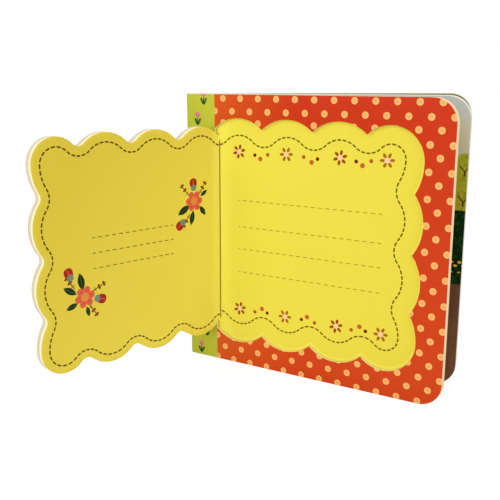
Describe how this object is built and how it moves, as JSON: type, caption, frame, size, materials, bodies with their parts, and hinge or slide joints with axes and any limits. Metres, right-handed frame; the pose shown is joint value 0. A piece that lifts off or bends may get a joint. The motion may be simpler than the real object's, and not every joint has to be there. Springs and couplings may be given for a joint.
{
  "type": "board book",
  "caption": "Square children's board book standing ajar, with a thick scalloped flap hinged in a scalloped recess in its front cover.",
  "frame": {"origin": "on the floor, at the foot of the spine, in the middle of its outer face", "axes": "+X from the spine to the fore-edge, -Y to the front cover, +Y to the back cover, +Z from tail to head"},
  "size_m": [0.1866, 0.1589, 0.1524],
  "materials": {
    "leaf_board": "matte",
    "spine_print": "satin",
    "cover_board": "matte",
    "cover_print": "satin",
    "yellow_print": "satin",
    "white_board": "matte",
    "grey_board": "matte",
    "back_print": "satin"
  },
  "bodies": {
    "book_block": {"page_block": "leaf_board", "spine_panel": "spine_print"},
    "front_cover": {"front_base_board": "cover_board", "front_window_board": "cover_print", "bookplate": "yellow_print"},
    "flap": {"flap_liner": "yellow_print", "flap_inner_ply": "white_board", "flap_outer_ply": "grey_board"},
    "back_cover_body": {"back_cover": "back_print"}
  },
  "joints": [
    {"name": "front_cover_opens", "type": "hinge", "parent": "book_block", "child": "front_cover", "pos_m": [0, -0.0058, 0], "axis": [0, 0, -1], "range_deg": [-10.1, 169.9]},
    {"name": "back_cover_opens", "type": "hinge", "parent": "book_block", "child": "back_cover_body", "pos_m": [0, 0.0058, 0], "axis": [0, 0, 1], "range_deg": [-13.5, 51.5]},
    {"name": "flap_closes", "type": "hinge", "parent": "front_cover", "child": "flap", "pos_m": [0.01954, -0.01187, 0.0764], "axis": [0.006, -0.0011, 1], "range_deg": [-9, 105.1]}
  ]
}
